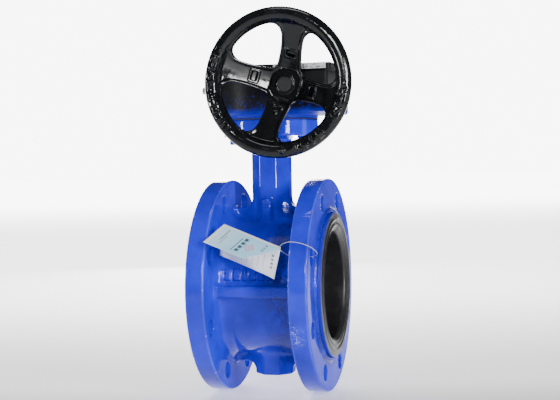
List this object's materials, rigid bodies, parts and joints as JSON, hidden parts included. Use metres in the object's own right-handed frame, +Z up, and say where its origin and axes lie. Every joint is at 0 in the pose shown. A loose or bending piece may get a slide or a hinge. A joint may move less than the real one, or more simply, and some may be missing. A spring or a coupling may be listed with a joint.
{
  "type": "gear operated butterfly valve",
  "caption": "Double-flanged rubber-lined butterfly valve with a worm gearbox, a dished four-spoke handwheel and a paper hang tag.",
  "frame": {"origin": "where the pipe axis crosses the plane of the inlet flange's bolting face", "axes": "+X along the pipe axis from the inlet flange to the outlet flange, +Z up along the stem, handwheel towards -Y"},
  "size_m": [0.1972, 0.2683, 0.4382],
  "materials": {
    "blue_enamel": "gloss enamel on grey iron casting",
    "seat_rubber": "matt moulded rubber",
    "disc_metal": "nickel plated ductile iron",
    "stainless": "turned stainless",
    "bronze": "turned bronze",
    "black_rubber": "smooth rubber",
    "nylon": "natural nylon",
    "gasket_sheet": "dark gasket sheet",
    "zinc_steel": "zinc plated",
    "gearbox_iron": "satin dark grey paint on cast iron",
    "gear_iron": "machined ductile iron",
    "steel": "ground steel",
    "wheel_gloss_black": "gloss black enamel on cast iron",
    "indicator_yellow": "satin yellow",
    "label_foil": "printed foil strip",
    "paper": "coated paper, pale blue print",
    "thread": "thin white thread"
  },
  "bodies": {
    "valve": {"barrel_top": "blue_enamel", "bearing_cap": "gearbox_iron", "body_neck": "blue_enamel", "bottom_gasket": "black_rubber", "bottom_plug": "blue_enamel", "bush_retaining_ring": "stainless", "cap_screws": "zinc_steel", "cover_gasket": "gasket_sheet", "cover_screws": "zinc_steel", "front_bearing": "bronze", "gearbox_cover": "gearbox_iron", "gearbox_housing": "gearbox_iron", "indicator_o_ring": "black_rubber", "inlet_flange_plate": "blue_enamel", "inlet_seat_lip": "seat_rubber", "label_plate": "label_foil", "lower_bush": "bronze", "middle_bush": "bronze", "mounting_bolts": "zinc_steel", "mounting_gasket": "gasket_sheet", "mounting_washers": "zinc_steel", "outlet_flange_plate": "blue_enamel", "outlet_seat_lip": "seat_rubber", "paper_tag": "paper", "rear_bearing": "bronze", "rear_cap": "gearbox_iron", "scale_plate": "label_foil", "seal_retainer": "nylon", "seat_liner": "seat_rubber", "shaft_seal": "black_rubber", "stem_o_rings": "black_rubber", "stop_nuts": "zinc_steel", "stop_screws": "zinc_steel", "tag_thread": "thread", "thrust_washer": "stainless", "top_flange": "blue_enamel", "upper_bush": "bronze", "valve_body": "blue_enamel", "wheel_bush": "bronze"},
    "disc": {"disc": "disc_metal", "stem": "stainless", "taper_pins": "stainless", "stem_key": "stainless", "worm_wheel": "gear_iron", "position_indicator": "indicator_yellow", "indicator_screw": "zinc_steel"},
    "handwheel": {"handwheel": "wheel_gloss_black", "handwheel_pin": "steel", "input_shaft": "steel", "worm": "steel", "worm_pin": "steel"}
  },
  "joints": [
    {"name": "disc_turn", "type": "hinge", "parent": "valve", "child": "disc", "pos_m": [0.0695, 0, 0], "axis": [0, 0, 1], "range_deg": [0, 90]},
    {"name": "handwheel_turn", "type": "hinge", "parent": "valve", "child": "handwheel", "pos_m": [0.1075, 0, 0.231], "axis": [0, 1, 0], "range_deg": [-2340, 0]}
  ],
  "couplings": [
    {"joint": "handwheel_turn", "follows": "disc_turn", "ratio": -26}
  ]
}
